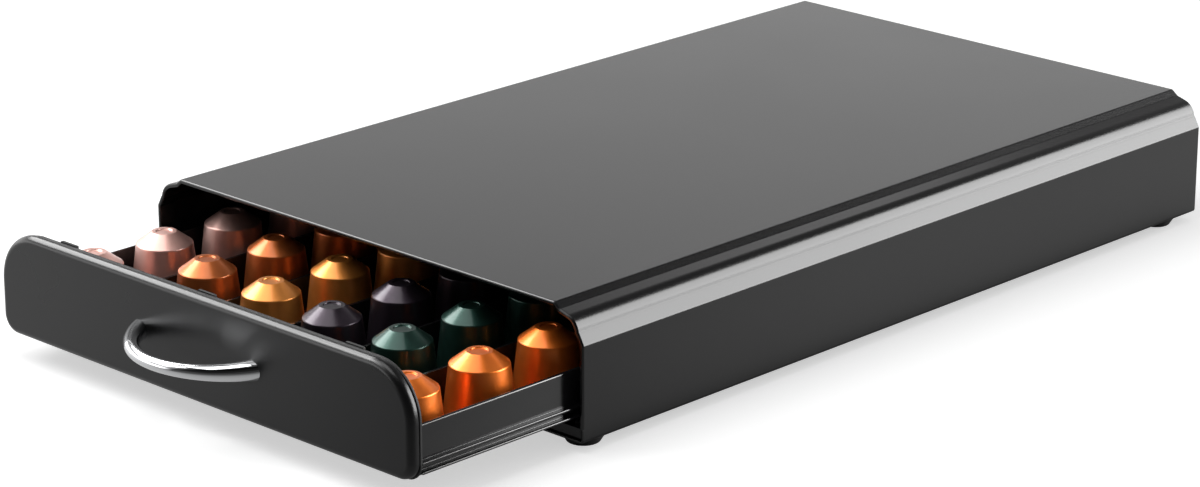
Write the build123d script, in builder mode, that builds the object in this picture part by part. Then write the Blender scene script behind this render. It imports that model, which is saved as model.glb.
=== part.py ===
from build123d import *
import os
from math import acos, atan, cos, degrees, radians, sin

# Coffee pod drawer: a low sheet steel case, open at the front, that a coffee machine stands on, and a
# pull-out tray with six lanes of upright pods behind a rounded front panel with a chrome bow handle.
#
# Frame: +X is to the right seen from the front, the front faces -Y and +Z is up.  The origin is on the
# worktop, under the middle of the box that the whole object fills with its drawer pulled out as it
# stands here.

# ---------------------------------------------------------------- driving dimensions, in millimetres
# Pods and lanes
pod_rim_diameter = 37.0
pod_rim_thickness = 0.8
pod_base_diameter = 29.2
pod_shoulder_diameter = 23.8
pod_shoulder_height = 23.6
pod_shoulder_radius = 1.0
pod_height = 28.6
pod_nub_diameter = 10.4
pod_recess_diameter = 7.0
pod_recess_depth = 0.5
pod_facets = 10
pod_gap = 0.2
pods_in_lane = 4
pods_to_fill_lane = 10
lane_count = 6
lane_clearance = 0.9
lane_finger_room = 14.0
lane_front_gaps = (9.4, 36.3, 36.1, 33.3, 34.3, 0.3)

# Sheet metal and fits
case_sheet = 1.0
tray_sheet = 1.2
divider_sheet = 1.2
fit_clearance = 0.15

# Case
case_body_height = 54.5
top_step_width = 2.9
top_step_drop = 2.3
ledge_width = 4.1
ledge_drop = 1.2
shoulder_width = 5.3
shoulder_drop = 5.0
cove_width = 0.3
cove_drop = 1.1
cove_step_width = 0.5
cove_step_drop = 0.7
facet_width = 2.3
facet_drop = 4.2
bottom_bend_radius = 1.6
return_flange = 24.0
front_hem_depth = 8.0
front_hem_sheet = 0.9
floor_lip_height = 3.6
floor_lip_setback = 1.0
floor_bend_radius = 0.8
floor_corner_radius = 0.6
floor_rivet_end_distance = 36.0
back_flange_depth = 10.0

# Feet
foot_height = 4.0
foot_top_diameter = 18.0
foot_bottom_diameter = 13.0
foot_edge_radius = 1.2
foot_counterbore_diameter = 8.4
foot_counterbore_depth = 2.2
foot_side_inset = 10.5
foot_front_inset = 11.0
foot_back_inset = 16.0
foot_screw_diameter = 3.6
foot_screw_head_diameter = 7.4
foot_screw_head_height = 1.6
foot_screw_head_chamfer = 0.5
foot_nut_across_flats = 6.0
foot_nut_height = 2.2

# Runners that are fixed in the case, and the tray's rails that slide on them
runner_sheet = 1.2
runner_plate_height = 16.0
runner_tongue_thickness = 1.9
runner_front_setback = 9.5
rail_groove_height = 2.8
rail_flange_thickness = 1.0
rail_flange_reach = 2.5
rail_ledge_width = 8.0
rail_ledge_thickness = 1.0
rail_wall_height = 18.9
rail_side_gap = 2.4
rail_rim_radius = 0.5
tongue_tip_gap = 0.4
tray_underside_gap = 7.5

# Tray
divider_height = 16.8
divider_tab_length = 12.0
divider_tab_count = 4
divider_tab_end_distance = 24.0
tray_back_height = 16.8
tray_back_corner_radius = 3.0
divider_corner_radius = 4.0
divider_end_gap = 0.3

# Drawer position and travel
drawer_out = 86.3
drawer_travel_out = 204.0
stop_gap = 0.5
pull_stop_width = 18.0
pull_stop_leg = 14.0
pull_stop_spread = 120.0
pull_stop_floor_gap = 1.2
pull_stop_bend_radius = 1.0
bumper_height = 5.5
bumper_diameter = 10.0
bumper_nose_diameter = 7.0
bumper_stud_diameter = 4.0
bumper_spread = 120.0

# Front panel
panel_side_gap = 2.1
panel_top_gap = 0.7
panel_top_radius = 22.0
panel_bottom_radius = 8.0
panel_wall = 2.0
panel_shell_depth = 4.3
panel_edge_radius = 3.0
shadow_groove_width = 1.0
frame_collar_wall = 1.4
frame_rim_inset = 0.7
frame_rim_thickness = 1.2
frame_rim_drop = 1.7
clip_width = 10.0
clip_height = 5.0
clip_thickness = 1.2
clip_rise = 0.4
clip_spacing = 84.0

# Handle
handle_hole_spacing = 66.0
handle_bow_depth = 20.9
handle_middle_diameter = 5.4
handle_end_diameter = 8.4
handle_stations = 7
handle_overrun = 1.12
handle_centre_above_panel_bottom = 22.4
handle_stud_diameter = 3.4
handle_stud_root_depth = 1.7
handle_nut_across_flats = 5.6
handle_nut_height = 2.4

# Brackets and rivets
bracket_sheet = 1.2
bracket_height = 10.0
bracket_panel_leg = 13.0
bracket_rail_leg = 16.0
bracket_above_floor = 6.0
bracket_screw_spacing = 5.0
bracket_screw_diameter = 2.6
bracket_screw_head_diameter = 5.0
bracket_screw_head_height = 1.1
bracket_screw_bite = 1.4
rivet_diameter = 3.2
rivet_head_diameter = 6.0
rivet_head_height = 0.8
rivet_head_chamfer = 0.4
floor_rivets_per_side = 3
tray_rivets_per_side = 4
tray_rivet_front_distance = 32.0
tray_rivet_back_distance = 16.0

# ---------------------------------------------------------------- places that follow from them
# Across: from the lanes outwards to the case
lane_width = pod_rim_diameter + lane_clearance
lane_pitch = lane_width + divider_sheet
tray_half_inside = (lane_count * lane_width + (lane_count - 1) * divider_sheet) / 2
rail_face_x = tray_half_inside + tray_sheet
rail_flange_x = rail_face_x + rail_flange_reach
runner_plate_x = rail_flange_x + rail_side_gap
case_inside_x = runner_plate_x + runner_sheet
case_half_width = case_inside_x + case_sheet
hem_inside_x = case_inside_x - front_hem_sheet
panel_half_width = hem_inside_x - panel_side_gap
lane_centres = [(lane - (lane_count - 1) / 2) * lane_pitch for lane in range(lane_count)]
divider_places = [(divider - lane_count / 2) * lane_pitch for divider in range(1, lane_count)]

# Up: from the worktop
case_bottom = foot_height
case_top = case_bottom + case_body_height
floor_bottom = case_bottom + case_sheet
floor_top = floor_bottom + case_sheet
floor_lip_top = floor_top + floor_lip_height
tray_bottom = floor_top + tray_underside_gap
tray_floor_top = tray_bottom + tray_sheet
groove_bottom = tray_bottom + rail_flange_thickness
groove_top = groove_bottom + rail_groove_height
rail_flange_top = groove_top + rail_flange_thickness
rail_top = tray_bottom + rail_wall_height
tongue_middle = (groove_bottom + groove_top) / 2
frame_reach = panel_wall + frame_collar_wall
panel_bottom = tray_floor_top - frame_reach
panel_top = case_top - case_sheet - front_hem_sheet - panel_top_gap
handle_z = panel_bottom + handle_centre_above_panel_bottom

# Along: the lane's length sets the tray's, and the tray's sets the case's
pod_pitch = pod_rim_diameter + pod_gap
lane_length = pods_to_fill_lane * pod_pitch + lane_finger_room
case_length = panel_wall + lane_length + tray_sheet + stop_gap + bumper_height + case_sheet
handle_reach = handle_bow_depth + handle_middle_diameter / 2
case_front = (drawer_out + handle_reach - case_length) / 2
case_back = case_front + case_length
panel_front = case_front - drawer_out
lane_front = panel_front + panel_wall
shell_back = panel_front + panel_shell_depth
frame_rim_front = shell_back + shadow_groove_width
panel_back = frame_rim_front + frame_rim_thickness
lane_back = lane_front + lane_length
tray_back = lane_back + tray_sheet
floor_lip_back = case_front + floor_lip_setback + case_sheet
pull_stop_front = floor_lip_back + stop_gap + drawer_travel_out
back_panel_front = case_back - case_sheet

foot_places = {
    "front_left": (foot_side_inset - case_half_width, case_front + foot_front_inset),
    "front_right": (case_half_width - foot_side_inset, case_front + foot_front_inset),
    "back_left": (foot_side_inset - case_half_width, case_back - foot_back_inset),
    "back_right": (case_half_width - foot_side_inset, case_back - foot_back_inset),
}

os.makedirs("parts", exist_ok=True)


def finish(piece, node):
    """Label a finished piece and write it to its own file."""
    piece.part.label = node
    export_step(piece.part, f"parts/{node}.step")


def across(y):
    """Plane that faces the front at y.  Sketches on it are drawn in X and Z."""
    return Plane.XZ.offset(-y)


def spread(first, last, count):
    """Evenly spaced places from first to last."""
    return [first + (last - first) * place / (count - 1) for place in range(count)]


# ---------------------------------------------------------------- case
def case_section(inset=0.0):
    """Cross-section of the case with its stepped shoulders, drawn in by inset on every side."""
    shoulder_x = case_half_width - (facet_width + cove_step_width + cove_width)
    flat_end = (shoulder_x - (shoulder_width + ledge_width + top_step_width), case_top)
    step_end = (flat_end[0] + top_step_width, flat_end[1] - top_step_drop)
    ledge_end = (step_end[0] + ledge_width, step_end[1] - ledge_drop)
    shoulder_end = (ledge_end[0] + shoulder_width, ledge_end[1] - shoulder_drop)
    cove = (shoulder_end[0] + cove_width, shoulder_end[1] - cove_drop)
    facet_start = (cove[0] + cove_step_width, cove[1] - cove_step_drop)
    facet_end = (case_half_width, facet_start[1] - facet_drop)
    with BuildSketch() as section:
        with BuildLine():
            Polyline((0, case_top), flat_end, step_end, ledge_end)
            TangentArc(ledge_end, shoulder_end, tangent=(ledge_width, -ledge_drop))
            Polyline(shoulder_end, cove, facet_start, facet_end)
            Polyline(facet_end, (case_half_width, case_bottom), (0, case_bottom))
            mirror(about=Plane.YZ)
        make_face()
        fillet(section.vertices().group_by(Axis.Y)[0].sort_by(Axis.X)[0], bottom_bend_radius)
        fillet(section.vertices().group_by(Axis.Y)[0].sort_by(Axis.X)[-1], bottom_bend_radius)
        if inset:
            offset(amount=-inset, kind=Kind.INTERSECTION)
    return section.sketch


foot_hole_places = list(foot_places.values())
floor_rivet_side = case_half_width - return_flange / 2
floor_rivet_places = [
    (side * floor_rivet_side, y)
    for side in (-1, 1)
    for y in spread(foot_places["front_left"][1] + floor_rivet_end_distance,
                    foot_places["back_left"][1] - floor_rivet_end_distance, floor_rivets_per_side)
]

# Sleeve: one bent sheet, hemmed at its front edge, with return flanges under the sides
with BuildPart() as sleeve:
    with BuildSketch(across(case_front)):
        add(case_section())
        add(case_section(case_sheet), mode=Mode.SUBTRACT)
    extrude(amount=-case_length)
    with BuildSketch(across(case_front)):
        add(case_section(case_sheet))
        add(case_section(case_sheet + front_hem_sheet), mode=Mode.SUBTRACT)
        with Locations((0, (case_bottom + floor_lip_top) / 2)):
            Rectangle(2 * case_half_width, floor_lip_top - case_bottom, mode=Mode.SUBTRACT)
    extrude(amount=-front_hem_depth)
    with BuildSketch(across(case_front)):
        with Locations((0, case_bottom)):
            Rectangle(2 * (case_half_width - return_flange), 2 * case_sheet)
    extrude(amount=-case_length, mode=Mode.SUBTRACT)
    with BuildSketch(Plane.XY.offset(case_bottom)):
        with Locations(*foot_hole_places):
            Circle(foot_screw_diameter / 2)
        with Locations(*floor_rivet_places):
            Circle(rivet_diameter / 2)
    extrude(amount=case_sheet, mode=Mode.SUBTRACT)
finish(sleeve, "sleeve")

# Floor plate: lies on the return flanges, with an upturned lip at its front
floor_half_width = hem_inside_x - fit_clearance
with BuildPart() as floor_plate:
    with BuildSketch(Plane.YZ.offset(-floor_half_width)):
        with BuildLine():
            Polyline(
                (case_front + floor_lip_setback, floor_bottom),
                (back_panel_front - fit_clearance, floor_bottom),
                (back_panel_front - fit_clearance, floor_top),
                (floor_lip_back, floor_top),
                (floor_lip_back, floor_lip_top),
                (case_front + floor_lip_setback, floor_lip_top),
                close=True,
            )
        make_face()
    extrude(amount=2 * floor_half_width)
    lip_bottom_edge = floor_plate.edges().filter_by(Axis.X).group_by(Axis.Y)[0].sort_by(Axis.Z)[0]
    fillet(lip_bottom_edge, floor_bend_radius)
    fillet(floor_plate.edges().filter_by(Axis.Z).group_by(Axis.Y)[0], floor_corner_radius)
    with BuildSketch(Plane.XY.offset(floor_bottom)):
        with Locations(*foot_hole_places):
            Circle(foot_screw_diameter / 2)
        with Locations(*floor_rivet_places):
            Circle(rivet_diameter / 2)
    extrude(amount=case_sheet, mode=Mode.SUBTRACT)
finish(floor_plate, "floor_plate")

# Back panel: a flat plate inside the sleeve's back edge, with a flange turned forward
bumper_z = (rail_top + tray_bottom) / 2
bumper_places = [(-bumper_spread / 2, bumper_z), (bumper_spread / 2, bumper_z)]
with BuildPart() as back_panel:
    with BuildSketch(across(back_panel_front)):
        add(case_section(case_sheet + fit_clearance))
        with Locations(*bumper_places):
            Circle(bumper_stud_diameter / 2, mode=Mode.SUBTRACT)
    extrude(amount=-case_sheet)
    with BuildSketch(across(back_panel_front)):
        add(case_section(case_sheet + fit_clearance))
        add(case_section(2 * case_sheet + fit_clearance), mode=Mode.SUBTRACT)
        with Locations((0, (case_bottom + floor_lip_top) / 2)):
            Rectangle(2 * case_half_width, floor_lip_top - case_bottom, mode=Mode.SUBTRACT)
    extrude(amount=back_flange_depth)
finish(back_panel, "back_panel")

# Rubber bumpers that the tray's back meets when the drawer is shut
bumper_taper = degrees(atan((bumper_diameter - bumper_nose_diameter) / 2 / bumper_height))
with BuildPart() as rear_bumpers:
    with BuildSketch(across(case_back)):
        with Locations(*bumper_places):
            Circle(bumper_stud_diameter / 2)
    extrude(amount=case_sheet)
    with BuildSketch(across(back_panel_front)):
        with Locations(*bumper_places):
            Circle(bumper_diameter / 2)
    extrude(amount=bumper_height, taper=bumper_taper)
finish(rear_bumpers, "rear_bumpers")

# Rivets that hold the floor plate on the return flanges
with BuildPart() as floor_rivets:
    with BuildSketch(Plane.XY.offset(case_bottom - rivet_head_height)):
        with Locations(*floor_rivet_places):
            Circle(rivet_head_diameter / 2)
    extrude(amount=rivet_head_height)
    with BuildSketch(Plane.XY.offset(case_bottom)):
        with Locations(*floor_rivet_places):
            Circle(rivet_diameter / 2)
    extrude(amount=2 * case_sheet)
    rivet_heads = floor_rivets.faces().sort_by(Axis.Z)[0:len(floor_rivet_places)]
    chamfer(rivet_heads.edges(), rivet_head_chamfer)
finish(floor_rivets, "floor_rivets")

# Feet: tapered rubber, each with a screw from below and a nut on the floor plate
for foot_name, (foot_x, foot_y) in foot_places.items():
    with BuildPart() as foot:
        with BuildSketch(across(foot_y)):
            with BuildLine():
                Polyline(
                    (foot_x + foot_screw_diameter / 2, foot_height),
                    (foot_x + foot_screw_diameter / 2, foot_counterbore_depth),
                    (foot_x + foot_counterbore_diameter / 2, foot_counterbore_depth),
                    (foot_x + foot_counterbore_diameter / 2, 0),
                    (foot_x + foot_bottom_diameter / 2 - foot_edge_radius, 0),
                )
                RadiusArc(
                    (foot_x + foot_bottom_diameter / 2 - foot_edge_radius, 0),
                    (foot_x + foot_bottom_diameter / 2, foot_edge_radius),
                    -foot_edge_radius,
                )
                Polyline(
                    (foot_x + foot_bottom_diameter / 2, foot_edge_radius),
                    (foot_x + foot_top_diameter / 2, foot_height),
                    (foot_x + foot_screw_diameter / 2, foot_height),
                )
            make_face()
        revolve(axis=Axis((foot_x, foot_y, 0), (0, 0, 1)))
    finish(foot, f"foot_{foot_name}")

with BuildPart() as foot_screws:
    with BuildSketch(Plane.XY.offset(foot_counterbore_depth - foot_screw_head_height)):
        with Locations(*foot_hole_places):
            Circle(foot_screw_head_diameter / 2)
    extrude(amount=foot_screw_head_height)
    with BuildSketch(Plane.XY.offset(foot_counterbore_depth)):
        with Locations(*foot_hole_places):
            Circle(foot_screw_diameter / 2)
    extrude(amount=floor_top + foot_nut_height - foot_counterbore_depth)
    screw_heads = foot_screws.faces().sort_by(Axis.Z)[0:len(foot_hole_places)]
    chamfer(screw_heads.edges(), foot_screw_head_chamfer)
finish(foot_screws, "foot_screws")

with BuildPart() as foot_nuts:
    with BuildSketch(Plane.XY.offset(floor_top)):
        with Locations(*foot_hole_places):
            RegularPolygon(foot_nut_across_flats / 2, 6, major_radius=False)
            Circle(foot_screw_diameter / 2, mode=Mode.SUBTRACT)
    extrude(amount=foot_nut_height)
finish(foot_nuts, "foot_nuts")

# Runners: a plate welded to each side of the sleeve, with a tongue that the tray's rail slides on
runner_back = case_back - case_sheet - back_flange_depth - fit_clearance
tongue_tip_x = rail_face_x + tongue_tip_gap
for side_name, side in (("left", -1), ("right", 1)):
    with BuildPart() as runner:
        with BuildSketch(across(case_front + runner_front_setback)):
            with BuildLine():
                Polyline(
                    (side * case_inside_x, tongue_middle - runner_plate_height / 2),
                    (side * case_inside_x, tongue_middle + runner_plate_height / 2),
                    (side * runner_plate_x, tongue_middle + runner_plate_height / 2),
                    (side * runner_plate_x, tongue_middle + runner_tongue_thickness / 2),
                    (side * tongue_tip_x, tongue_middle + runner_tongue_thickness / 2),
                    (side * tongue_tip_x, tongue_middle - runner_tongue_thickness / 2),
                    (side * runner_plate_x, tongue_middle - runner_tongue_thickness / 2),
                    (side * runner_plate_x, tongue_middle - runner_plate_height / 2),
                    close=True,
                )
            make_face()
        extrude(amount=-(runner_back - case_front - runner_front_setback))
        tongue_corner = runner.edges().filter_by(Axis.Z).sort_by(Axis.Y)[0:4]
        chamfer(tongue_corner.sort_by(lambda edge: abs(edge.center().X))[0], runner_tongue_thickness)
    finish(runner, f"runner_{side_name}")

# ---------------------------------------------------------------- drawer: tray
tray_rivet_x = tray_half_inside - rail_ledge_width / 2
tray_rivet_places = [
    (side * tray_rivet_x, y)
    for side in (-1, 1)
    for y in spread(panel_back + tray_rivet_front_distance,
                    tray_back - tray_rivet_back_distance, tray_rivets_per_side)
]

# Rails: the tray's rolled sides, each with a groove for the runner and a ledge under the floor
for side_name, side in (("left", -1), ("right", 1)):
    with BuildPart() as rail:
        with BuildSketch(across(panel_back)):
            with BuildLine():
                Polyline(
                    (side * tray_half_inside, rail_top),
                    (side * rail_face_x, rail_top),
                    (side * rail_face_x, rail_flange_top),
                    (side * rail_flange_x, rail_flange_top),
                    (side * rail_flange_x, groove_top),
                    (side * rail_face_x, groove_top),
                    (side * rail_face_x, groove_bottom),
                    (side * rail_flange_x, groove_bottom),
                    (side * rail_flange_x, tray_bottom),
                    (side * rail_face_x, tray_bottom),
                    (side * rail_face_x, tray_bottom - rail_ledge_thickness),
                    (side * (tray_half_inside - rail_ledge_width), tray_bottom - rail_ledge_thickness),
                    (side * (tray_half_inside - rail_ledge_width), tray_bottom),
                    (side * tray_half_inside, tray_bottom),
                    close=True,
                )
            make_face()
        extrude(amount=-(tray_back - panel_back))
        rim_edges = rail.edges().filter_by(Axis.Y).group_by(Axis.Z)[-1]
        fillet(rim_edges, rail_rim_radius)
        with BuildSketch(Plane.XY.offset(tray_bottom - rail_ledge_thickness)):
            with Locations(*[place for place in tray_rivet_places if place[0] * side > 0]):
                Circle(rivet_diameter / 2)
        extrude(amount=rail_ledge_thickness, mode=Mode.SUBTRACT)
    finish(rail, f"tray_rail_{side_name}")

tab_places_y = spread(panel_back + divider_tab_end_distance,
                      lane_back - divider_tab_end_distance, divider_tab_count)
pull_stop_places = [
    (side * pull_stop_spread / 2, pull_stop_front + pull_stop_leg / 2) for side in (-1, 1)
]

with BuildPart() as tray_floor:
    with BuildSketch(Plane.XY.offset(tray_bottom)):
        with Locations((0, (panel_back + tray_back) / 2)):
            Rectangle(2 * tray_half_inside, tray_back - panel_back)
        with Locations(*[(x, y) for x in divider_places for y in tab_places_y]):
            Rectangle(divider_sheet + fit_clearance, divider_tab_length + fit_clearance, mode=Mode.SUBTRACT)
        with Locations(*tray_rivet_places, *pull_stop_places):
            Circle(rivet_diameter / 2, mode=Mode.SUBTRACT)
    extrude(amount=tray_sheet)
finish(tray_floor, "tray_floor")

with BuildPart() as tray_back_wall:
    with BuildSketch(across(lane_back)) as back_outline:
        with Locations((0, tray_floor_top + tray_back_height / 2)):
            Rectangle(2 * tray_half_inside, tray_back_height)
        fillet(back_outline.vertices().group_by(Axis.Y)[-1], tray_back_corner_radius)
    extrude(amount=-tray_sheet)
finish(tray_back_wall, "tray_back")

# Lane dividers: upright strips with tabs that pass through the floor
divider_front = lane_front + divider_end_gap
divider_back = lane_back - divider_end_gap
for divider_number, divider_x in enumerate(divider_places, start=1):
    with BuildPart() as divider:
        with BuildSketch(Plane.YZ.offset(divider_x - divider_sheet / 2)) as divider_outline:
            with Locations(((divider_front + divider_back) / 2, tray_floor_top + divider_height / 2)):
                Rectangle(divider_back - divider_front, divider_height)
            fillet(divider_outline.vertices().group_by(Axis.Y)[-1], divider_corner_radius)
            with Locations(*[(y, tray_bottom + tray_sheet / 2) for y in tab_places_y]):
                Rectangle(divider_tab_length, tray_sheet)
        extrude(amount=divider_sheet)
    finish(divider, f"lane_divider_{divider_number}")

# Rivets through the rails' ledges and the floor, flush on top so that pods slide over them
with BuildPart() as tray_rivets:
    with BuildSketch(Plane.XY.offset(tray_bottom - rail_ledge_thickness - rivet_head_height)):
        with Locations(*tray_rivet_places):
            Circle(rivet_head_diameter / 2)
    extrude(amount=rivet_head_height)
    with BuildSketch(Plane.XY.offset(tray_bottom - rail_ledge_thickness)):
        with Locations(*tray_rivet_places):
            Circle(rivet_diameter / 2)
    extrude(amount=rail_ledge_thickness + tray_sheet)
finish(tray_rivets, "tray_rivets")

# Pull-out stops: brackets under the floor that catch the case's front lip at full travel
pull_stop_bottom = floor_top + pull_stop_floor_gap
with BuildPart() as pull_stops:
    for stop_x, _ in pull_stop_places:
        with BuildSketch(Plane.YZ.offset(stop_x - pull_stop_width / 2)):
            with BuildLine():
                Polyline(
                    (pull_stop_front, pull_stop_bottom),
                    (pull_stop_front + tray_sheet, pull_stop_bottom),
                    (pull_stop_front + tray_sheet, tray_bottom - tray_sheet),
                    (pull_stop_front + pull_stop_leg, tray_bottom - tray_sheet),
                    (pull_stop_front + pull_stop_leg, tray_bottom),
                    (pull_stop_front, tray_bottom),
                    close=True,
                )
            make_face()
        extrude(amount=pull_stop_width)
    bend_edges = pull_stops.edges().filter_by(Axis.X).group_by(Axis.Y)[0].group_by(Axis.Z)[-1]
    fillet(bend_edges, pull_stop_bend_radius)
    with BuildSketch(Plane.XY.offset(tray_bottom - tray_sheet)):
        with Locations(*pull_stop_places):
            Circle(rivet_diameter / 2)
    extrude(amount=tray_sheet, mode=Mode.SUBTRACT)
finish(pull_stops, "pull_stops")

with BuildPart() as pull_stop_rivets:
    with BuildSketch(Plane.XY.offset(tray_bottom - tray_sheet - rivet_head_height)):
        with Locations(*pull_stop_places):
            Circle(rivet_head_diameter / 2)
    extrude(amount=rivet_head_height)
    with BuildSketch(Plane.XY.offset(tray_bottom - tray_sheet)):
        with Locations(*pull_stop_places):
            Circle(rivet_diameter / 2)
    extrude(amount=2 * tray_sheet)
finish(pull_stop_rivets, "pull_stop_rivets")


# ---------------------------------------------------------------- drawer: front panel
def panel_outline(inset=0.0, drop=0.0):
    """Outline of the front panel, drawn in by inset, with its bottom edge lowered by drop."""
    top = panel_top - inset
    bottom = panel_bottom + inset - drop
    with BuildSketch() as outline:
        with Locations((0, (top + bottom) / 2)):
            Rectangle(2 * (panel_half_width - inset), top - bottom)
        fillet(outline.vertices().group_by(Axis.Y)[-1], panel_top_radius - inset)
        fillet(outline.vertices().group_by(Axis.Y)[0], panel_bottom_radius - inset)
    return outline.sketch


handle_screw_places = [(side * handle_hole_spacing / 2, handle_z) for side in (-1, 1)]
bracket_middle_z = tray_floor_top + bracket_above_floor + bracket_height / 2
bracket_screw_x = tray_half_inside - (bracket_panel_leg + bracket_sheet) / 2
bracket_screw_places = [
    (side * bracket_screw_x, bracket_middle_z + lift * bracket_screw_spacing / 2)
    for side in (-1, 1)
    for lift in (-1, 1)
]

# Shell: the painted front, a shallow tray with a large round all along its front edge
with BuildPart() as front_panel:
    with BuildSketch(across(panel_front)):
        add(panel_outline())
    extrude(amount=-panel_shell_depth)
    fillet(front_panel.faces().sort_by(Axis.Y)[0].edges(), panel_edge_radius)
    with BuildSketch(across(lane_front)):
        add(panel_outline(panel_wall))
    extrude(amount=-(shell_back - lane_front), mode=Mode.SUBTRACT)
    with BuildSketch(across(panel_front)):
        with Locations(*handle_screw_places):
            Circle((handle_stud_diameter + fit_clearance) / 2)
    extrude(amount=-panel_wall, mode=Mode.SUBTRACT)
    with BuildSketch(across(lane_front)):
        with Locations(*bracket_screw_places):
            Circle(bracket_screw_diameter / 2)
    extrude(amount=bracket_screw_bite, mode=Mode.SUBTRACT)
finish(front_panel, "front_panel")

# Frame: a collar inside the shell, with a rim that stands behind the shadow groove
with BuildPart() as panel_frame:
    with BuildSketch(across(lane_front)):
        add(panel_outline(panel_wall + fit_clearance))
        add(panel_outline(frame_reach), mode=Mode.SUBTRACT)
    extrude(amount=-(frame_rim_front - lane_front))
    with BuildSketch(across(frame_rim_front)):
        add(panel_outline(frame_rim_inset, frame_rim_drop))
        add(panel_outline(frame_reach), mode=Mode.SUBTRACT)
    extrude(amount=-frame_rim_thickness)
finish(panel_frame, "panel_frame")

# Clips on the frame's back that stand just over its top edge
clip_top = panel_top - frame_rim_inset + clip_rise
with BuildPart() as panel_clips:
    with BuildSketch(across(panel_back)) as clip_outlines:
        with Locations(*[(place * clip_spacing, clip_top - clip_height / 2) for place in (-1, 0, 1)]):
            Rectangle(clip_width, clip_height)
        fillet(clip_outlines.vertices().group_by(Axis.Y)[-1], clip_rise)
    extrude(amount=-clip_thickness)
finish(panel_clips, "panel_clips")

# Handle: a round bar bent to an arc that ends on the panel, with a threaded stud out of each end.  It is
# thinnest in the middle of the bow and grows thicker towards both ends.
bow_radius = ((handle_hole_spacing / 2) ** 2 + handle_bow_depth ** 2) / (2 * handle_bow_depth)
bow_centre_y = panel_front - handle_bow_depth + bow_radius
bow_half_angle = degrees(acos(1 - handle_bow_depth / bow_radius))
stud_end = panel_wall + handle_nut_height
with BuildPart() as handle:
    for place in spread(-handle_overrun, handle_overrun, handle_stations):
        angle = radians(place * bow_half_angle)
        bar_diameter = handle_middle_diameter + (handle_end_diameter - handle_middle_diameter) * place ** 2
        station = Plane(
            origin=(bow_radius * sin(angle), bow_centre_y - bow_radius * cos(angle), handle_z),
            x_dir=(sin(angle), -cos(angle), 0),
            z_dir=(cos(angle), sin(angle), 0),
        )
        with BuildSketch(station):
            Circle(bar_diameter / 2)
    loft()
    split(bisect_by=across(panel_front), keep=Keep.TOP)
    with BuildSketch(across(panel_front - handle_stud_root_depth)):
        with Locations(*handle_screw_places):
            Circle(handle_stud_diameter / 2)
    extrude(amount=-(handle_stud_root_depth + stud_end))
finish(handle, "handle")

with BuildPart() as handle_nuts:
    with BuildSketch(across(lane_front)):
        with Locations(*handle_screw_places):
            RegularPolygon(handle_nut_across_flats / 2, 6, major_radius=False)
            Circle(handle_stud_diameter / 2, mode=Mode.SUBTRACT)
    extrude(amount=-handle_nut_height)
finish(handle_nuts, "handle_nuts")

# Brackets that join the panel to the rails, and their screws
with BuildPart() as panel_brackets:
    with BuildSketch(Plane.XY.offset(bracket_middle_z - bracket_height / 2)):
        with BuildLine():
            Polyline(
                (tray_half_inside, lane_front),
                (tray_half_inside, lane_front + bracket_rail_leg),
                (tray_half_inside - bracket_sheet, lane_front + bracket_rail_leg),
                (tray_half_inside - bracket_sheet, lane_front + bracket_sheet),
                (tray_half_inside - bracket_panel_leg, lane_front + bracket_sheet),
                (tray_half_inside - bracket_panel_leg, lane_front),
                close=True,
            )
        make_face()
        mirror(about=Plane.YZ)
    extrude(amount=bracket_height)
    with BuildSketch(across(lane_front)):
        with Locations(*bracket_screw_places):
            Circle(bracket_screw_diameter / 2)
    extrude(amount=-bracket_sheet, mode=Mode.SUBTRACT)
finish(panel_brackets, "panel_brackets")

with BuildPart() as bracket_screws:
    with BuildSketch(across(lane_front + bracket_sheet)):
        with Locations(*bracket_screw_places):
            Circle(bracket_screw_head_diameter / 2)
    extrude(amount=-bracket_screw_head_height)
    with BuildSketch(across(lane_front + bracket_sheet)):
        with Locations(*bracket_screw_places):
            Circle(bracket_screw_diameter / 2)
    extrude(amount=bracket_sheet + bracket_screw_bite)
finish(bracket_screws, "bracket_screws")

# ---------------------------------------------------------------- pods
# One pod, rim down at the origin: a thin rim, a tapered wall with a rounded shoulder, a faceted dome
# and a round dimple
dome_base_diameter = pod_shoulder_diameter - 2 * pod_shoulder_radius
with BuildPart() as pod:
    with BuildSketch(Plane.XZ) as pod_profile:
        with BuildLine():
            Polyline(
                (0, 0),
                (pod_rim_diameter / 2, 0),
                (pod_rim_diameter / 2, pod_rim_thickness),
                (pod_base_diameter / 2, pod_rim_thickness),
                (pod_shoulder_diameter / 2, pod_shoulder_height),
                (0, pod_shoulder_height),
                close=True,
            )
        make_face()
        shoulder = pod_profile.vertices().group_by(Axis.Y)[-1].sort_by(Axis.X)[-1]
        fillet(shoulder, pod_shoulder_radius)
    revolve(axis=Axis.Z)
    with BuildSketch(Plane.XY.offset(pod_shoulder_height)):
        RegularPolygon(dome_base_diameter / 2, pod_facets)
    with BuildSketch(Plane.XY.offset(pod_height)):
        RegularPolygon(pod_nub_diameter / 2, pod_facets)
    loft()
    with BuildSketch(Plane.XY.offset(pod_height)):
        Circle(pod_recess_diameter / 2)
    extrude(amount=-pod_recess_depth, mode=Mode.SUBTRACT)

for lane_number, (lane_x, front_gap) in enumerate(zip(lane_centres, lane_front_gaps), start=1):
    first_pod_y = lane_front + front_gap + pod_rim_diameter / 2
    pod_places = [
        (lane_x, first_pod_y + place * pod_pitch, tray_floor_top) for place in range(pods_in_lane)
    ]
    with BuildPart() as lane_pods:
        with Locations(*pod_places):
            add(pod.part)
    finish(lane_pods, f"pods_lane_{lane_number}")
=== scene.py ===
"""Coffee pod drawer: a satin black sheet steel case with a pull-out tray of coffee pods.

Everything is in metres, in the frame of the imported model: +X right, -Y the front, +Z up.
"""
import math

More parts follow.
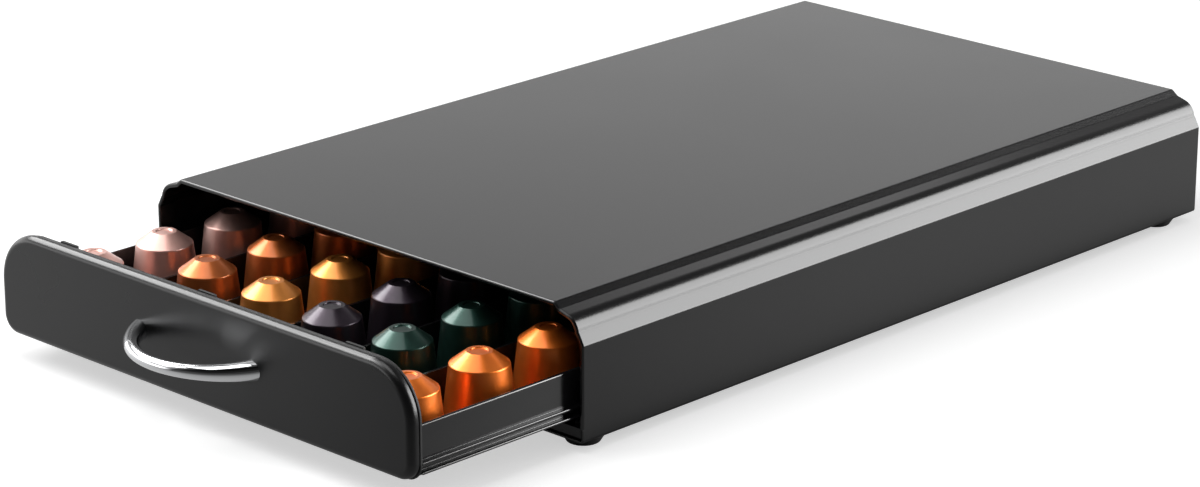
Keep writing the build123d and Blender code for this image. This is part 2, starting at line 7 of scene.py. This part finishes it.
import bpy
import numpy as np
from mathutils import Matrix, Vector


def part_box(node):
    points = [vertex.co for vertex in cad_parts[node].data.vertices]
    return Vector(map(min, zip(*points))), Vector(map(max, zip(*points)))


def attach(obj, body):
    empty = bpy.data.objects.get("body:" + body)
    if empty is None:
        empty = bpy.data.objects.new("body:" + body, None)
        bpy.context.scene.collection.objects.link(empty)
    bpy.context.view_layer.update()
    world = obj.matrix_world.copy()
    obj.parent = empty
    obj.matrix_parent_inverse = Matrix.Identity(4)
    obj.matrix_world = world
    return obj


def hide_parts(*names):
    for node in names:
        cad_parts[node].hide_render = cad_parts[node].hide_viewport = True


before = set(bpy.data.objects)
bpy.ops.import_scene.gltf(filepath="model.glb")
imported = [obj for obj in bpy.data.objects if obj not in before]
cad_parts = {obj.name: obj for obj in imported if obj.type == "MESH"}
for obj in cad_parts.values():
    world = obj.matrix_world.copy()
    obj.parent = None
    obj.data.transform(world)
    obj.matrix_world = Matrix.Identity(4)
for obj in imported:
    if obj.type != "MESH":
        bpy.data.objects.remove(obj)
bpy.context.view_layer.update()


# ---------------------------------------------------------------- sleeve
# One mild steel sheet, bent over stepped shoulders, with return flanges underneath.  Its front edge is
# folded in as a hem.  It is stove enamelled in satin black.
def rounded(corners, radii, inset=0.0, steps=7, land=0.0001, closed=True):
    """Outline with rounded corners, run anticlockwise.

    Every edge is first moved in by inset, so corner P goes to P - inset (n1 + n2) / (1 + n1.n2), where n1
    and n2 are the outward normals of its two edges.  The arc there has the corner's radius, less the
    inset on an outer bend and more on an inner one, and starts radius tan(turn / 2) before the corner.
    A short land on both sides of it keeps the flats flat.  A corner with no turn becomes a straight run,
    radius long each way.
    """
    corners, radii = np.array(corners, float), np.array(radii, float)
    ahead = np.roll(corners, -1, axis=0) - corners
    ahead /= np.linalg.norm(ahead, axis=1)[:, None]
    behind = np.roll(ahead, 1, axis=0)
    if not closed:
        behind[0], ahead[-1] = ahead[0], behind[-1]
    turn = np.arctan2(behind[:, 0] * ahead[:, 1] - behind[:, 1] * ahead[:, 0], (behind * ahead).sum(1))
    out_behind = np.stack([behind[:, 1], -behind[:, 0]], 1)
    out_ahead = np.stack([ahead[:, 1], -ahead[:, 0]], 1)
    corners -= inset * (out_behind + out_ahead) / (1 + (out_behind * out_ahead).sum(1))[:, None]
    straight = np.abs(turn) < 1e-6
    bend = np.maximum(radii - inset * np.sign(turn), 0.00002)
    reach = np.where(straight, radii, bend * np.tan(np.abs(turn) / 2))
    share = np.linspace(0, 1, steps + 1)
    angle = np.abs(turn)[:, None] * share
    along = np.where(straight[:, None], 2 * radii[:, None] * share, bend[:, None] * np.sin(angle))
    aside = np.where(straight[:, None], 0, bend[:, None] * (1 - np.cos(angle)) * np.sign(turn)[:, None])
    start = corners - reach[:, None] * behind
    arcs = start[:, None] + along[..., None] * behind[:, None] - aside[..., None] * out_behind[:, None]
    first = start[:, None] - land * behind[:, None]
    last = arcs[:, -1:] + land * ahead[:, None]
    arcs = np.concatenate([first, arcs, last], 1)
    if closed:
        return arcs.reshape(-1, 2)
    return np.concatenate([corners[:1], arcs[1:-1].reshape(-1, 2), corners[-1:]])


def surface(name, points, rows_close=False, columns_close=True, crease=32):
    """Mesh of one or more grids of points, shaped (copies, rows, columns, 3).

    Neighbouring points make quads that face along columns x rows.  Open ends are filled flat, and edges
    sharper than crease degrees stay sharp.
    """
    points = points.reshape((-1,) + points.shape[-3:])
    copies, rows, columns = points.shape[:3]
    row = np.arange(rows if rows_close else rows - 1)[:, None]
    column = np.arange(columns if columns_close else columns - 1)[None]
    next_row, next_column = (row + 1) % rows, (column + 1) % columns
    quads = np.stack([row * columns + column, row * columns + next_column,
                      next_row * columns + next_column, next_row * columns + column], -1).reshape(-1, 4)
    grid = np.arange(rows * columns).reshape(rows, columns)
    ends = [] if rows_close else [grid[0, ::-1], grid[-1]]
    ends += [] if columns_close else [grid[:, 0], grid[::-1, -1]]
    faces = []
    for first in np.arange(copies) * rows * columns:
        faces += (quads + first).tolist() + [(end + first).tolist() for end in ends]
    mesh = bpy.data.meshes.new(name)
    mesh.from_pydata(points.reshape(-1, 3).tolist(), [], faces)
    mesh.polygons.foreach_set("use_smooth", np.ones(len(mesh.polygons), bool))
    mesh.set_sharp_from_angle(angle=math.radians(crease))
    return mesh


def fit(mesh, body, slot, material, *nodes):
    """Put a finished mesh on its body, in the place of the nodes that it stands for."""
    piece = bpy.data.objects.new(mesh.name, mesh)
    bpy.context.scene.collection.objects.link(piece)
    mesh.materials.append(material)
    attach(piece, body)
    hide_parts(*nodes)


def linear(code):
    """sRGB hex to linear RGBA: c / 12.92 up to 0.04045, else ((c + 0.055) / 1.055) ** 2.4."""
    c = np.array([int(code[i:i + 2], 16) for i in (1, 3, 5)]) / 255
    return (*np.where(c <= 0.04045, c / 12.92, ((c + 0.055) / 1.055) ** 2.4).tolist(), 1.0)


def add_node(tree, kind, links={}, **settings):
    """Add a node with its settings, and give its inputs values or other nodes' outputs."""
    node = tree.nodes.new(kind)
    for setting, value in settings.items():
        setattr(node, setting, value)
    for socket, value in links.items():
        if isinstance(value, bpy.types.NodeSocket):
            tree.links.new(value, node.inputs[socket])
        else:
            node.inputs[socket].default_value = value
    return node


def new_material(name, **inputs):
    """Material with a Principled shader, and that shader's own values."""
    material = bpy.data.materials.new(name)
    material.use_nodes = True
    for socket, value in inputs.items():
        material.node_tree.nodes["Principled BSDF"].inputs[socket.replace("_", " ")].default_value = value
    return material, material.node_tree


def noise(tree, size, detail=2.0, upright=1.0):
    """Noise of the given size in the piece's own coordinates.  An upright below 1 draws it out along Z."""
    place = add_node(tree, "ShaderNodeTexCoord").outputs["Object"]
    if upright != 1.0:
        place = add_node(tree, "ShaderNodeMapping",
                         {"Vector": place, "Scale": (1, 1, upright)}).outputs["Vector"]
    return add_node(tree, "ShaderNodeTexNoise",
                    {"Vector": place, "Scale": 1 / size, "Detail": detail}).outputs["Fac"]


def vary_gloss(tree, value, smooth, rough, low=0.0, high=1.0):
    """Take the shader's roughness from smooth to rough, as the value goes from low to high."""
    gloss = add_node(tree, "ShaderNodeMapRange", {"Value": value, "From Min": low, "From Max": high,
                                                  "To Min": smooth, "To Max": rough})
    tree.links.new(gloss.outputs["Result"], tree.nodes["Principled BSDF"].inputs["Roughness"])


def vary_colour(tree, value, first, last):
    """Take the shader's colour from the first hex to the last, as the value goes from 0 to 1."""
    tone = add_node(tree, "ShaderNodeMix", {"Factor": value, "A": linear(first), "B": linear(last)},
                    data_type="RGBA")
    tree.links.new(tone.outputs["Result"], tree.nodes["Principled BSDF"].inputs["Base Color"])


def emboss(tree, value, strength, depth):
    """Raise the surface by the value, up to depth."""
    bump = add_node(tree, "ShaderNodeBump", {"Height": value, "Strength": strength, "Distance": depth})
    tree.links.new(bump.outputs["Normal"], tree.nodes["Principled BSDF"].inputs["Normal"])


def stoved(name, dark, light, smooth, rough, index=1.5, peel=0.0016, depth=0.000006):
    """Stove enamel on steel: an even satin black whose gloss drifts a little over the sheet, with the
    orange peel of a sprayed coat, about 1.6 mm from crest to crest and a few microns deep."""
    material, tree = new_material(name, IOR=index, Metallic=0.0)
    vary_gloss(tree, noise(tree, 0.07, detail=3.0), smooth, rough, low=0.3, high=0.7)
    vary_colour(tree, noise(tree, 0.0009), dark, light)
    emboss(tree, noise(tree, peel, detail=1.0), 0.5, depth)
    return material


def in_front(outline, depth):
    """Points of an outline drawn in X and Z, stood at Y = depth."""
    return np.stack([outline[:, 0], np.full(len(outline), depth), outline[:, 1]], -1)


sleeve_low, sleeve_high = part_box("sleeve")
half_width, top, bottom = sleeve_high.x, sleeve_high.z, sleeve_low.z
front, back = sleeve_low.y, sleeve_high.y
sheet = 0.0010
hem_thickness = 0.0019
hem_depth = 0.0080
hem_end = 0.0098
flange = 0.0240
step_run, step_drop = 0.0029, 0.0023
ledge_run, ledge_drop = 0.0041, 0.0012
shoulder_run, shoulder_drop = 0.0053, 0.0050
cove_run, cove_drop = 0.0003, 0.0011
cove_step_run, cove_step_drop = 0.0005, 0.0007
facet_run, facet_drop = 0.0023, 0.0042

bends_run = step_run + ledge_run + shoulder_run + cove_run + cove_step_run + facet_run
flat_end = np.array([half_width - bends_run, top])
step_end = flat_end + (step_run, -step_drop)
ledge_end = step_end + (ledge_run, -ledge_drop)
shoulder_end = ledge_end + (shoulder_run, -shoulder_drop)
cove = shoulder_end + (cove_run, -cove_drop)
facet_start = cove + (cove_step_run, -cove_step_drop)
facet_end = facet_start + (facet_run, -facet_drop)
ledge_slope = math.atan2(ledge_drop, ledge_run)
shoulder_turn = math.atan2(shoulder_drop, shoulder_run) - ledge_slope
shoulder_side = math.hypot(shoulder_run, shoulder_drop) / 2 / math.cos(shoulder_turn)
shoulder_corner = ledge_end + shoulder_side * np.array([math.cos(ledge_slope), -math.sin(ledge_slope)])
right_side = [
    ((half_width - flange, bottom), 0),
    ((half_width, bottom), 0.0016),
    ((half_width, hem_end), 0.0003),
    (facet_end, 0.0016),
    (facet_start, 0.0010),
    (cove, 0.0008),
    (shoulder_end, 0.0020),
    (shoulder_corner, 0.0076),
    (step_end, 0.0012),
    (flat_end, 0.0014),
]
left_side = [((-x, z), radius) for (x, z), radius in reversed(right_side)]
sleeve_corners = [corner for corner, _ in right_side + left_side]
sleeve_radii = [radius for _, radius in right_side + left_side]

# The plain edge has as many points as the hemmed one, so that one grid holds both.
cut_round, lip_round, lip_root_round = 0.0003, 0.0004, 0.0002
fold_land = 0.00012
plain_step = 1.2 * hem_depth
hemmed_edge = rounded([(0, back), (0, front), (hem_thickness, front), (hem_thickness, front + hem_depth),
                       (sheet, front + hem_depth), (sheet, back)],
                      [cut_round, hem_thickness / 2 - fold_land, hem_thickness / 2 - fold_land,
                       lip_round, lip_root_round, cut_round])
plain_edge = rounded([(0, back), (0, front), (sheet, front), (sheet, front + hem_depth),
                      (sheet, front + plain_step), (sheet, back)],
                     [cut_round, sheet / 2 - fold_land, sheet / 2 - fold_land,
                      lip_round, lip_round, cut_round])


def bent_sheet(edge):
    """Rings of the sleeve's outline, one for each point (inset, depth) of the sheet's own edge."""
    return np.stack([in_front(rounded(sleeve_corners, sleeve_radii, inset, closed=False), depth)
                     for inset, depth in edge])


hemmed = rounded(sleeve_corners, sleeve_radii, closed=False)[:, 1] > hem_end
sleeve_skin = np.where(hemmed[None, :, None], bent_sheet(hemmed_edge), bent_sheet(plain_edge))
case_enamel = stoved("case_stove_enamel", "#0c0c0d", "#111112", 0.215, 0.24)
fit(surface("sleeve_sheet", sleeve_skin, rows_close=True, columns_close=False),
    "case", "case_paint", case_enamel, "sleeve")


# ---------------------------------------------------------------- floor plate, back panel and runners
# Flat pieces of thinner steel, welded or riveted inside the sleeve, in a rougher copy of the case's black
# made darker as painted shade.  Their cut edges are broken by the tumbling drum, which a small round stands
# for.
def give_finish(node, material):
    """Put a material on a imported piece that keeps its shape."""
    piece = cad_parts[node]
    piece.data.materials.clear()
    piece.data.materials.append(material)
    return piece


def ease_edges(node, radius, material):
    """Merge a node's loose triangles, round its sharp edges and give it a finish."""
    piece = give_finish(node, material)
    weld = piece.modifiers.new("weld", "WELD")
    weld.merge_threshold = 0.000001
    bevel = piece.modifiers.new("ease", "BEVEL")
    bevel.width, bevel.segments = radius, 2
    bevel.limit_method, bevel.angle_limit = "ANGLE", math.radians(40)
    bevel.harden_normals = True


# Painted shade: the case's black made darker for the pieces inside the sleeve; the higher roughness is their
# own finish.
shaded_inner_enamel = stoved("inner_stove_enamel_shaded", "#070708", "#0b0b0c", 0.34, 0.42)
plate_ease = 0.00015
for node in ("floor_plate", "back_panel", "runner_left", "runner_right"):
    ease_edges(node, plate_ease, shaded_inner_enamel)


# ---------------------------------------------------------------- feet
# Four tapered rubber feet, each with a pan head screw in its recess and a nut on the floor plate.
def turned(profile, radii, columns=64):
    """Profile of (radius, height) corners, turned round Z: x = r cos t, y = r sin t."""
    r, z = rounded(profile, radii, closed=False).T
    t = np.arange(columns) * 2 * math.pi / columns
    return np.stack([r[:, None] * np.cos(t), r[:, None] * np.sin(t), z[:, None] + 0 * t], -1)


def moulded(name, colour, rough, index, grain, strength, depth):
    """Moulded in a matt tool: one colour with a fine grain, of the given size and depth."""
    material, tree = new_material(name, Base_Color=linear(colour), Roughness=rough, IOR=index)
    emboss(tree, noise(tree, grain), strength, depth)
    return material


rubber = moulded("moulded_rubber", "#0f0f10", 0.72, 1.52, 0.0004, 0.4, 0.00003)
foot_bottom_radius, foot_top_radius = 0.0065, 0.0090
foot_recess, foot_recess_depth, foot_bore = 0.0042, 0.0022, 0.0018
foot_edge_round, foot_top_round, recess_round = 0.0012, 0.0004, 0.0002
for place in ("front_left", "front_right", "back_left", "back_right"):
    foot_low, foot_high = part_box(f"foot_{place}")
    foot_centre = (foot_low + foot_high) / 2
    foot_skin = turned(
        [(foot_bore, foot_high.z), (foot_bore, foot_recess_depth), (foot_recess, foot_recess_depth),
         (foot_recess, 0), (foot_bottom_radius, 0), (foot_top_radius, foot_high.z),
         (foot_bore + 0.0001, foot_high.z)],
        [0, recess_round, recess_round, 0.0003, foot_edge_round, foot_top_round, 0])
    foot_skin += (foot_centre.x, foot_centre.y, 0)
    fit(surface(f"rubber_foot_{place}", foot_skin, rows_close=True),
        "case", "rubber", rubber, f"foot_{place}")
give_finish("rear_bumpers", rubber)


def plated(name, colour, patch, detail, smooth, rough):
    """Plate on steel: a bright metal whose gloss drifts in patches of the given size."""
    material, tree = new_material(name, Base_Color=linear(colour), Metallic=1.0)
    vary_gloss(tree, noise(tree, patch, detail), smooth, rough)
    return material


zinc = plated("bright_zinc_plate", "#b9bdc2", 0.0015, 4.0, 0.22, 0.5)
fastener_ease = 0.00008
for node in ("foot_screws", "foot_nuts", "floor_rivets", "tray_rivets", "pull_stop_rivets",
             "handle_nuts", "bracket_screws"):
    ease_edges(node, fastener_ease, zinc)


# ---------------------------------------------------------------- tray
# Two rolled side rails, a flat floor, a back wall and five dividers, all in satin black.  The rails carry
# the groove that runs on the case's tongues.
tray_enamel = stoved("tray_stove_enamel", "#0f0f10", "#151516", 0.16, 0.22, index=1.8)
tray_sheet = 0.0012
groove_low, groove_high = 0.0010, 0.0038
rail_ledge, ledge_sheet = 0.0080, 0.0010
rail_edge, rail_end_ease = 0.0002, 0.0001
rail_rim_round, flange_round = 0.00078, 0.0005


def plate(corners, radii, near, far, ease):
    """Plate between two depths, with its outline in X and Z: rings drawn in by ease at both faces."""
    quarter = np.linspace(0, math.pi / 2, 4)
    insets = ease * (1 - np.sin(quarter))
    depths = ease * (1 - np.cos(quarter))
    rows = list(zip(insets, far - depths)) + list(zip(insets, near + depths))[::-1]
    return np.stack([in_front(rounded(corners, radii, inset), depth) for inset, depth in rows])


for name, side in (("left", -1), ("right", 1)):
    low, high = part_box(f"tray_rail_{name}")
    flange_x, ledge_x = max(abs(low.x), abs(high.x)), min(abs(low.x), abs(high.x))
    inside_x = ledge_x + rail_ledge
    face_x = inside_x + tray_sheet
    tray_bottom = low.z + ledge_sheet
    section = [
        (ledge_x, low.z), (face_x, low.z), (face_x, tray_bottom), (flange_x, tray_bottom),
        (flange_x, tray_bottom + groove_low), (face_x, tray_bottom + groove_low),
        (face_x, tray_bottom + groove_high), (flange_x, tray_bottom + groove_high),
        (flange_x, tray_bottom + groove_high + groove_low),
        (face_x, tray_bottom + groove_high + groove_low),
        (face_x, high.z), (inside_x, high.z), (inside_x, tray_bottom), (ledge_x, tray_bottom),
    ]
    # The upper corners of both flanges and the outer corner of the rim have wider rounds.
    edges = [rail_edge] * len(section)
    edges[4] = edges[8] = flange_round
    edges[10] = rail_rim_round
    if side < 0:
        section = [(-x, z) for x, z in reversed(section)]
        edges.reverse()
    rail = plate(section, edges, low.y, high.y, rail_end_ease)
    fit(surface(f"rail_{name}", rail), "drawer", "tray_paint", tray_enamel, f"tray_rail_{name}")
tray_ease, divider_ease = 0.0002, 0.0003
for node in ("tray_floor", "tray_back", "pull_stops", "panel_brackets"):
    ease_edges(node, tray_ease, tray_enamel)
for number in range(1, 6):
    ease_edges(f"lane_divider_{number}", divider_ease, tray_enamel)


# ---------------------------------------------------------------- front panel
# A pressed steel shell with a large round all along its front edge, in the case's satin black.
panel_enamel = stoved("panel_stove_enamel", "#0b0b0c", "#101011", 0.26, 0.32)
panel_low, panel_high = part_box("front_panel")
panel_half, panel_face, shell_back = panel_high.x, panel_low.y, panel_high.y
panel_corners = [(-panel_half, panel_low.z), (panel_half, panel_low.z),
                 (panel_half, panel_high.z), (-panel_half, panel_high.z)]
panel_radii = [0.008, 0.008, 0.022, 0.022]
panel_wall = 0.0020
edge_round, wall_round, rim_round = 0.0030, 0.0004, 0.0003
flat_rim = edge_round + 0.0004
shell_edge = rounded([(2 * panel_wall, panel_face + panel_wall), (panel_wall, panel_face + panel_wall),
                      (panel_wall, shell_back), (0, shell_back), (0, panel_face), (flat_rim, panel_face)],
                     [0, wall_round, rim_round, wall_round, edge_round, 0], closed=False, steps=12)
panel_skin = np.stack([in_front(rounded(panel_corners, panel_radii, inset, steps=16), depth)
                       for inset, depth in shell_edge])
fit(surface("panel_shell", panel_skin), "drawer", "panel_paint", panel_enamel, "front_panel")

# Frame and clips: a moulded ABS collar behind the shell, fine matt black from the tool's spark texture.
abs_black = moulded("moulded_abs", "#0d0d0e", 0.60, 1.54, 0.0003, 0.35, 0.00002)
frame_ease = 0.0003
for node in ("panel_frame", "panel_clips"):
    ease_edges(node, frame_ease, abs_black)


# ---------------------------------------------------------------- handle
# A round steel bar bent to an arc and chromium plated, screwed from inside the panel.  It is thinnest in
# the middle of the bow and grows thicker towards both ends.
chrome = plated("chromium_plate", "#e9eaec", 0.012, 2.0, 0.03, 0.08)
handle_low, handle_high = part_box("handle")
handle_z = (handle_low.z + handle_high.z) / 2
bar_middle_radius, bar_end_radius = 0.0027, 0.0042
hole_half_spacing = 0.0330
bow_depth = panel_face - handle_low.y - bar_middle_radius
bow_radius = (hole_half_spacing ** 2 + bow_depth ** 2) / (2 * bow_depth)
bow_centre = panel_face - bow_depth + bow_radius
seat_depth = 0.0019
bow_sweep = math.acos((bow_centre - panel_face - seat_depth) / bow_radius)
end_turn = math.acos((bow_centre - panel_face) / bow_radius)


def tapered_bow(columns=80, rows=240):
    """Circle carried round an arc: (R + r cos t) along the arc's radius and r sin t up, where r grows with
    the square of the turn from the middle."""
    t = np.arange(columns) * 2 * math.pi / columns
    turn = np.linspace(bow_sweep, -bow_sweep, rows)[:, None]
    bar_radius = bar_middle_radius + (bar_end_radius - bar_middle_radius) * (turn / end_turn) ** 2
    reach = bow_radius + bar_radius * np.cos(t)
    return np.stack([reach * np.sin(turn), bow_centre - reach * np.cos(turn),
                     handle_z + bar_radius * np.sin(t)], -1)


fit(surface("bow_handle", tapered_bow()), "drawer", "chrome", chrome, "handle")


# ---------------------------------------------------------------- pods
# Deep drawn aluminium pods, lacquered in a colour for each lane: a rolled rim, a tapered wall, a rounded
# shoulder, ten pressed facets and a round dimple.  They stand rim down.
pod_rim, pod_base, pod_shoulder, pod_nub, pod_dimple = 0.0185, 0.0146, 0.0119, 0.0052, 0.0035
rim_thickness, shoulder_height, dimple_depth = 0.0008, 0.0236, 0.0005
pod_rim_round, base_round, shoulder_round, nub_round = 0.00025, 0.0005, 0.0011, 0.0006
dimple_slope, dimple_round = 0.0003, 0.0003
base_fill, dimple_fill = 0.001, 0.0005
facets = 10
facet_clear, facet_fade_in = 0.0001, 0.0012
facet_top_clear, facet_fade_out = 0.0003, 0.0008


def pod_skin(height, columns=80):
    """Turned profile whose radius, on the dome alone, follows a ten-sided polygon: r cos(pi/n) / cos(t')."""
    profile = [
        (base_fill, 0), (pod_rim, 0), (pod_rim, rim_thickness), (pod_base, rim_thickness),
        (pod_shoulder, shoulder_height), (pod_nub, height), (pod_dimple, height),
        (pod_dimple - dimple_slope, height - dimple_depth), (dimple_fill, height - dimple_depth),
    ]
    rounds = [0, pod_rim_round, pod_rim_round, base_round, shoulder_round, nub_round,
              dimple_round, dimple_round, 0]
    points = turned(profile, rounds, columns)
    z = points[..., 2]
    t = np.arange(columns) * 2 * math.pi / columns
    wedge = math.pi / facets
    polygon = math.cos(wedge) / np.cos(t % (2 * wedge) - wedge)
    rise = np.clip((z - shoulder_height - facet_clear) / facet_fade_in, 0, 1)
    fall = np.clip((height - facet_top_clear - z) / facet_fade_out, 0, 1)
    share = rise * fall
    points[..., :2] *= (1 + share * (polygon - 1))[..., None]
    return points


def lacquered(name, colour, shade):
    """Lacquer on drawn aluminium: a coloured metal with the faint upright drawing lines of the wall."""
    material, tree = new_material(name, Metallic=0.85, Coat_Weight=0.5, Coat_Roughness=0.18)
    cloud = noise(tree, 0.006, detail=3.0)
    vary_colour(tree, cloud, shade, colour)
    vary_gloss(tree, cloud, 0.34, 0.46)
    emboss(tree, noise(tree, 0.0007, upright=0.05), 0.3, 0.00003)
    return material


lane_finishes = [
    [lacquered("rose_lacquer", "#f0bfb3", "#dcaca1"), lacquered("mauve_lacquer", "#d8b0a6", "#bc968e")],
    [lacquered("copper_lacquer", "#ca7039", "#ae5a26")],
    [lacquered("gold_lacquer", "#f09c4e", "#d88434")],
    [lacquered("plum_lacquer", "#3a303a", "#2a222a")],
    [lacquered("green_lacquer", "#21433a", "#17332c")],
    [lacquered("orange_lacquer", "#f58430", "#e26c1c")],
]
lane_slots = ["pod_rose", "pod_copper", "pod_gold", "pod_plum", "pod_green", "pod_orange"]
pods_in_lane = 4
rng = np.random.default_rng(7)
for number, (finishes, slot) in enumerate(zip(lane_finishes, lane_slots), start=1):
    low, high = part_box(f"pods_lane_{number}")
    x, y, z = np.moveaxis(pod_skin(high.z - low.z), -1, 0)
    pitch = (high.y - low.y - 2 * pod_rim) / (pods_in_lane - 1)
    turns = rng.uniform(0, 2 * math.pi / facets, pods_in_lane)
    lane = []
    for place, turn in enumerate(turns):
        lane.append(np.stack([x * math.cos(turn) - y * math.sin(turn) + (low.x + high.x) / 2,
                              x * math.sin(turn) + y * math.cos(turn) + low.y + pod_rim + place * pitch,
                              z + low.z], -1))
    mesh = surface(f"pods_{slot[4:]}", np.stack(lane), crease=60)
    fit(mesh, "drawer", slot, finishes[0], f"pods_lane_{number}")
    # The front half of the lane has the first finish and the back half the second.
    if len(finishes) > 1:
        mesh.materials.append(finishes[1])
        faces = len(mesh.polygons)
        mesh.polygons.foreach_set("material_index", np.arange(faces) * pods_in_lane // faces // 2)


# ---------------------------------------------------------------- studio
# A white sweep that the gloss sees too, darkened for the gloss by painted shade towards the viewer and a
# painted shadow under and beside the case, plain soft light from above and from the left, and three boxes
# that only the gloss sees.
floor_half = 6.0
floor_mesh = bpy.data.meshes.new("studio_floor")
floor_mesh.from_pydata([(-floor_half, -floor_half, 0), (floor_half, -floor_half, 0),
                        (floor_half, floor_half, 0), (-floor_half, floor_half, 0)], [], [(0, 1, 2, 3)])
floor = bpy.data.objects.new("studio_floor", floor_mesh)
bpy.context.scene.collection.objects.link(floor)


def ramp(tree, value, start, end, first, last):
    """Smooth step from first, below start, to last, above end."""
    return add_node(tree, "ShaderNodeMapRange", {"Value": value, "From Min": start, "From Max": end,
                                                 "To Min": first, "To Max": last},
                    interpolation_type="SMOOTHSTEP").outputs["Result"]


def product(tree, first, second):
    """Product of two numbers or sockets."""
    return add_node(tree, "ShaderNodeMath", {0: first, 1: second}, operation="MULTIPLY").outputs["Value"]


def total(tree, first, second):
    """Sum of two numbers or sockets."""
    return add_node(tree, "ShaderNodeMath", {0: first, 1: second}, operation="ADD").outputs["Value"]


def towards_viewer(tree, place):
    """Dot product of a place or direction with (0.7, -0.7, 0), which points at the front right."""
    return add_node(tree, "ShaderNodeVectorMath", {0: place, 1: (0.7, -0.7, 0.0)},
                    operation="DOT_PRODUCT").outputs["Value"]


paper, paper_tree = new_material("backdrop_paper", Roughness=0.9)
paper_shader = paper_tree.nodes["Principled BSDF"]
paper_path = add_node(paper_tree, "ShaderNodeLightPath")
paper_place = add_node(paper_tree, "ShaderNodeTexCoord").outputs["Object"]
shade_centre, shade_half = (0, 0.055, 0), (0.118, 0.190, 0)
beside = paper_place  # becomes how far a place lies outside that footprint, along X and Y
for operation, other in (("SUBTRACT", shade_centre), ("ABSOLUTE", (0, 0, 0)),
                         ("SUBTRACT", shade_half), ("MAXIMUM", (0, 0, 0))):
    beside = add_node(paper_tree, "ShaderNodeVectorMath", {0: beside, 1: other},
                      operation=operation).outputs["Vector"]
paper_gap = add_node(paper_tree, "ShaderNodeVectorMath", {0: beside}, operation="LENGTH").outputs["Value"]
# Painted shade that only the gloss sees: a painted shadow takes the floor down to 0.12 at the case's
# footprint, and painted shade takes it from 0.84 down to 0.06 towards the viewer.
painted_floor_shade = product(paper_tree, ramp(paper_tree, paper_gap, 0.0, 0.03, 0.12, 1.0),
                      ramp(paper_tree, towards_viewer(paper_tree, paper_place), 0.04, 0.38, 0.84, 0.06))
paper_tone = add_node(paper_tree, "ShaderNodeMix", {"Factor": paper_path.outputs["Is Glossy Ray"],
                                                    "A": linear("#e8e8e8"),
                                                    "B": product(paper_tree, painted_floor_shade, 0.6)},
                      data_type="RGBA")
paper_tree.links.new(paper_tone.outputs["Result"], paper_shader.inputs["Base Color"])
paper_glow = total(paper_tree, product(paper_tree, paper_path.outputs["Is Camera Ray"], 0.55),
                   product(paper_tree, paper_path.outputs["Is Glossy Ray"],
                           product(paper_tree, painted_floor_shade, 0.4)))
paper_shader.inputs["Emission Color"].default_value = (1, 1, 1, 1)
paper_tree.links.new(paper_glow, paper_shader.inputs["Emission Strength"])
floor_mesh.materials.append(paper)

world = bpy.data.worlds.new("studio")
bpy.context.scene.world = world
world.use_nodes = True
sky = world.node_tree
sky.nodes.clear()
sky_path = add_node(sky, "ShaderNodeLightPath")
sky_place = add_node(sky, "ShaderNodeTexCoord").outputs["Generated"]
sky_axes = add_node(sky, "ShaderNodeSeparateXYZ", {"Vector": sky_place})
wall = product(sky, ramp(sky, sky_axes.outputs["Z"], 0.23, 0.36, 1.62, 0.46),
               ramp(sky, sky_axes.outputs["Z"], 0.58, 0.70, 1.0, 0.3))
front_left = add_node(sky, "ShaderNodeVectorMath", {0: sky_place, 1: (-0.7, -0.7, 0.0)},
                      operation="DOT_PRODUCT").outputs["Value"]
wall = product(sky, wall, ramp(sky, front_left, 0.3, 0.8, 1.0, 1.9))
room = ramp(sky, towards_viewer(sky, sky_place), 0.20, 0.50, 1.0, 0.03)
plain = add_node(sky, "ShaderNodeMix", {"Factor": sky_path.outputs["Is Glossy Ray"], "A": 0.42,
                                        "B": product(sky, wall, room)}, data_type="FLOAT")
seen = add_node(sky, "ShaderNodeMix", {"Factor": sky_path.outputs["Is Camera Ray"],
                                       "A": plain.outputs["Result"], "B": 1.0}, data_type="FLOAT")
glow = add_node(sky, "ShaderNodeBackground", {"Strength": seen.outputs["Result"]})
add_node(sky, "ShaderNodeOutputWorld", {"Surface": glow.outputs["Background"]})


def soft_box(name, place, target, size, radiance, gloss_only=False):
    """Square area lamp that faces its target.  A lamp of area A and radiance L has a power of pi A L."""
    lamp = bpy.data.lights.new(name, "AREA")
    lamp.shape, lamp.size, lamp.size_y = "RECTANGLE", size[0], size[1]
    lamp.energy = math.pi * size[0] * size[1] * radiance
    lamp_object = bpy.data.objects.new(name, lamp)
    lamp_object.location = place
    lamp_object.rotation_euler = (Vector(place) - Vector(target)).to_track_quat("Z", "Y").to_euler()
    lamp_object.visible_diffuse = not gloss_only
    bpy.context.scene.collection.objects.link(lamp_object)


soft_box("key", (-1.1, -1.1, 1.6), (0, -0.1, 0), (1.1, 0.9), 4.0)
soft_box("overhead", (-0.10, -0.35, 1.1), (0, -0.15, 0), (0.8, 0.6), 2.4)
soft_box("right_back", (1.33, 1.34, 0.70), (0, 0.05, 0.03), (1.6, 1.46), 9.0, gloss_only=True)
soft_box("back", (-0.66, 1.10, 0.99), (0, 0.0, 0.03), (0.6, 0.3), 1.4, gloss_only=True)
soft_box("left", (-1.17, -0.32, 1.05), (0, -0.22, 0.05), (1.3, 0.66), 9.5, gloss_only=True)


# ---------------------------------------------------------------- camera
azimuth, elevation = math.radians(43.95), math.radians(18.70)
camera_data = bpy.data.cameras.new("camera")
camera_data.lens, camera_data.sensor_width = 117.66, 36
camera = bpy.data.objects.new("camera", camera_data)
camera.location = (1.09874, -1.14393, 0.55803)
backward = Vector((math.sin(azimuth) * math.cos(elevation), -math.cos(azimuth) * math.cos(elevation),
                   math.sin(elevation)))
camera.rotation_euler = backward.to_track_quat("Z", "Y").to_euler()
bpy.context.scene.collection.objects.link(camera)
bpy.context.scene.camera = camera
bpy.context.scene.view_settings.view_transform = "Standard"
